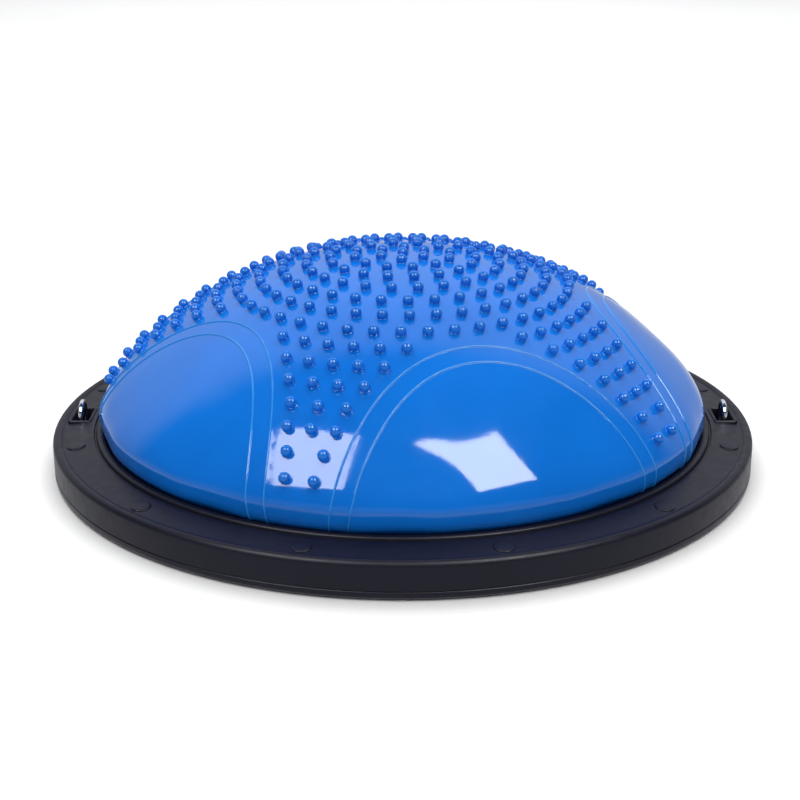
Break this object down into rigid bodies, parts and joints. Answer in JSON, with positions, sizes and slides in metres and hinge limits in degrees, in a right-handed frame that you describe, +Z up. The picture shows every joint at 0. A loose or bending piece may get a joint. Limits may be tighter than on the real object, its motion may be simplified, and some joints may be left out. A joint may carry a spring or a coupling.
{
  "type": "balance dome trainer",
  "caption": "Air-filled ribbed-and-nubbed vinyl dome clamped by a moulded ring to a round platform with wire loops, rubber feet and an air plug.",
  "frame": {"origin": "centre of the platform at floor level, under the feet", "axes": "+Z up, from the platform to the top of the dome; +X from the centre towards one of the two wire loops"},
  "size_m": [0.58, 0.58, 0.1702],
  "materials": {
    "black_plastic": "satin moulded",
    "blue_vinyl": "glossy soft vinyl",
    "blue_vinyl_floor": "satin soft vinyl",
    "chrome": "polished",
    "zinc_steel": "zinc plated",
    "foot_rubber": "matte",
    "plug_plastic": "milky translucent"
  },
  "bodies": {
    "base": {"top_ring": "black_plastic", "base_plate": "black_plastic", "bladder_base": "blue_vinyl_floor", "wire_loop_left": "chrome", "wire_loop_right": "chrome", "backing_plate_left": "zinc_steel", "backing_plate_right": "zinc_steel", "loop_nut_left_front": "zinc_steel", "loop_nut_left_rear": "zinc_steel", "loop_nut_right_front": "zinc_steel", "loop_nut_right_rear": "zinc_steel", "clamp_screw_01": "zinc_steel", "clamp_screw_02": "zinc_steel", "clamp_screw_03": "zinc_steel", "clamp_screw_04": "zinc_steel", "clamp_screw_05": "zinc_steel", "clamp_screw_06": "zinc_steel", "clamp_screw_07": "zinc_steel", "clamp_screw_08": "zinc_steel", "clamp_screw_09": "zinc_steel", "clamp_screw_10": "zinc_steel", "clamp_screw_11": "zinc_steel", "clamp_screw_12": "zinc_steel", "rubber_foot_1": "foot_rubber", "rubber_foot_2": "foot_rubber", "rubber_foot_3": "foot_rubber", "rubber_foot_4": "foot_rubber", "rubber_foot_5": "foot_rubber", "rubber_foot_6": "foot_rubber", "rubber_foot_7": "foot_rubber", "rubber_foot_8": "foot_rubber"},
    "dome": {"dome_skin": "blue_vinyl"},
    "plug": {"air_plug": "plug_plastic"}
  },
  "joints": [
    {"name": "dome_press", "type": "slide", "parent": "base", "child": "dome", "axis": [0, 0, -1], "range_m": [0, 0.03], "stiffness_N_per_m": 25000, "deforming": ["dome_skin"]},
    {"name": "air_plug_pull", "type": "slide", "parent": "base", "child": "plug", "axis": [0, 0, -1], "range_m": [0, 0.07]}
  ]
}
